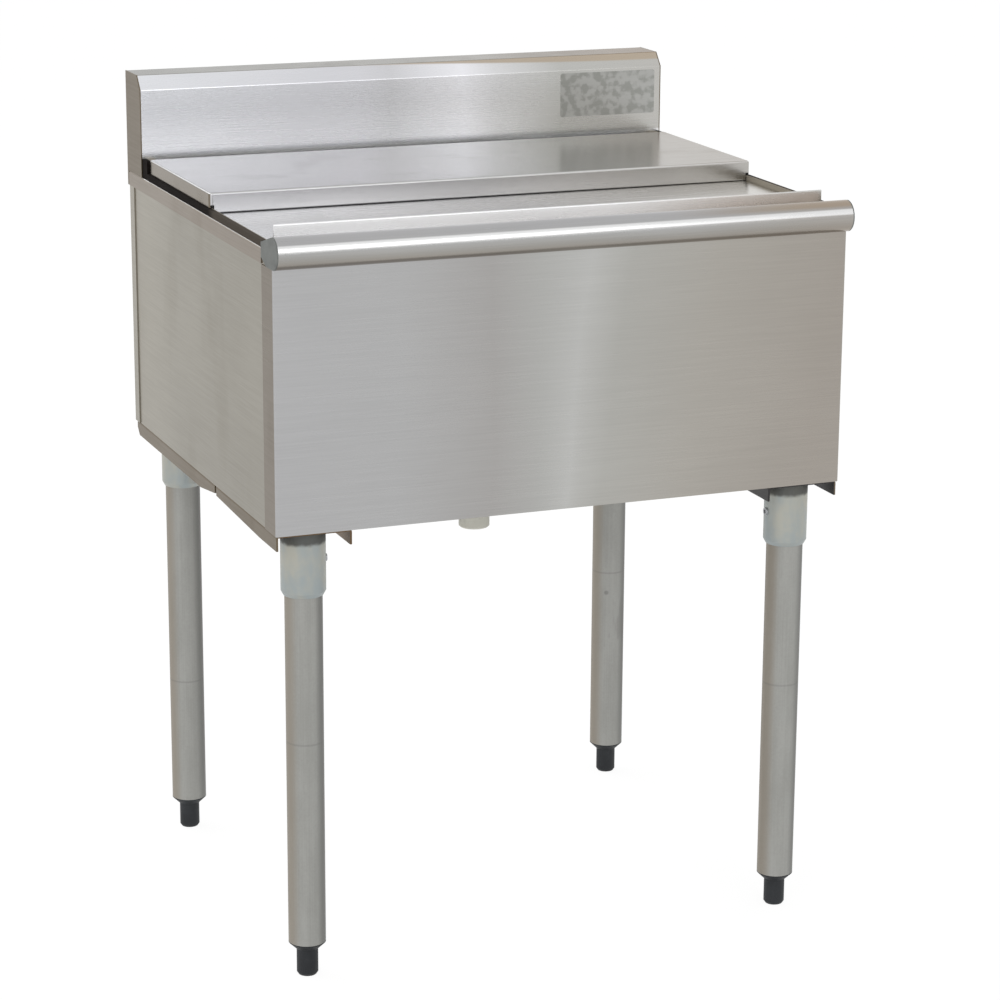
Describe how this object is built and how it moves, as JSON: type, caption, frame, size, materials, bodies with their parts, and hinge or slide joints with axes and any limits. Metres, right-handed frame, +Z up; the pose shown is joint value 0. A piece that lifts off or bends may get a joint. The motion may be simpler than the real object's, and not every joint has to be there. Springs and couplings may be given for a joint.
{
  "type": "insulated underbar ice bin",
  "caption": "Stainless steel insulated ice bin on tubular legs, with a sliding front cover, a lift-off rear cover, a rolled front edge, a backsplash and a bottom drain.",
  "frame": {"origin": "on the floor, under the middle of the bounding box", "axes": "+Z up, -Y towards the bartender who stands at the rolled front edge, +X to that bartender's right"},
  "size_m": [0.6096, 0.5334, 0.8636],
  "materials": {
    "sheet": "fine brushed stainless sheet",
    "side_sheet": "dull stainless sheet",
    "tube": "satin galvanised tube",
    "socket": "galvanised, slightly bluish",
    "zinc": "zinc-plated",
    "end_cap": "moulded dark grey",
    "strip": "extruded black",
    "foot": "moulded blue-black",
    "pipe": "grey drain pipe",
    "foam": "rigid cellular foam, poured in place"
  },
  "bodies": {
    "bin": {"front_panel": "sheet", "back_panel": "side_sheet", "bottom_pan": "side_sheet", "top_rim": "sheet", "rolled_front_edge": "sheet", "backsplash": "sheet", "bin_liner": "sheet", "foam_jacket": "foam", "drain_pipe": "pipe", "drain_gasket": "strip", "drain_locknut": "pipe", "drain_strainer": "sheet", "left_side_panel": "side_sheet", "right_side_panel": "side_sheet", "left_roll_end_cap": "end_cap", "right_roll_end_cap": "end_cap", "left_splash_end_cap": "side_sheet", "right_splash_end_cap": "side_sheet", "left_cover_strip": "strip", "right_cover_strip": "strip", "front_left_gusset": "side_sheet", "front_right_gusset": "side_sheet", "rear_left_gusset": "side_sheet", "rear_right_gusset": "side_sheet", "front_left_leg_socket": "socket", "front_right_leg_socket": "socket", "rear_left_leg_socket": "socket", "rear_right_leg_socket": "socket", "front_left_leg_tube": "tube", "front_right_leg_tube": "tube", "rear_left_leg_tube": "tube", "rear_right_leg_tube": "tube", "front_left_foot_insert": "foot", "front_right_foot_insert": "foot", "rear_left_foot_insert": "foot", "rear_right_foot_insert": "foot", "socket_set_screws": "zinc"},
    "sliding_cover": {"front_cover": "sheet"},
    "lift_off_cover": {"rear_cover": "sheet"},
    "front_left_adjuster": {"front_left_foot": "foot", "front_left_foot_stud": "zinc"},
    "front_right_adjuster": {"front_right_foot": "foot", "front_right_foot_stud": "zinc"},
    "rear_left_adjuster": {"rear_left_foot": "foot", "rear_left_foot_stud": "zinc"},
    "rear_right_adjuster": {"rear_right_foot": "foot", "rear_right_foot_stud": "zinc"}
  },
  "joints": [
    {"name": "front_cover_slide", "type": "slide", "parent": "bin", "child": "sliding_cover", "axis": [0, 1, 0], "range_m": [0, 0.181]},
    {"name": "rear_cover_lift", "type": "slide", "parent": "bin", "child": "lift_off_cover", "axis": [0, 0, 1], "range_m": [0, 0.12]},
    {"name": "front_left_foot_screw", "type": "slide", "parent": "bin", "child": "front_left_adjuster", "axis": [0, 0, -1], "range_m": [0, 0.025]},
    {"name": "front_right_foot_screw", "type": "slide", "parent": "bin", "child": "front_right_adjuster", "axis": [0, 0, -1], "range_m": [0, 0.025]},
    {"name": "rear_left_foot_screw", "type": "slide", "parent": "bin", "child": "rear_left_adjuster", "axis": [0, 0, -1], "range_m": [0, 0.025]},
    {"name": "rear_right_foot_screw", "type": "slide", "parent": "bin", "child": "rear_right_adjuster", "axis": [0, 0, -1], "range_m": [0, 0.025]}
  ]
}
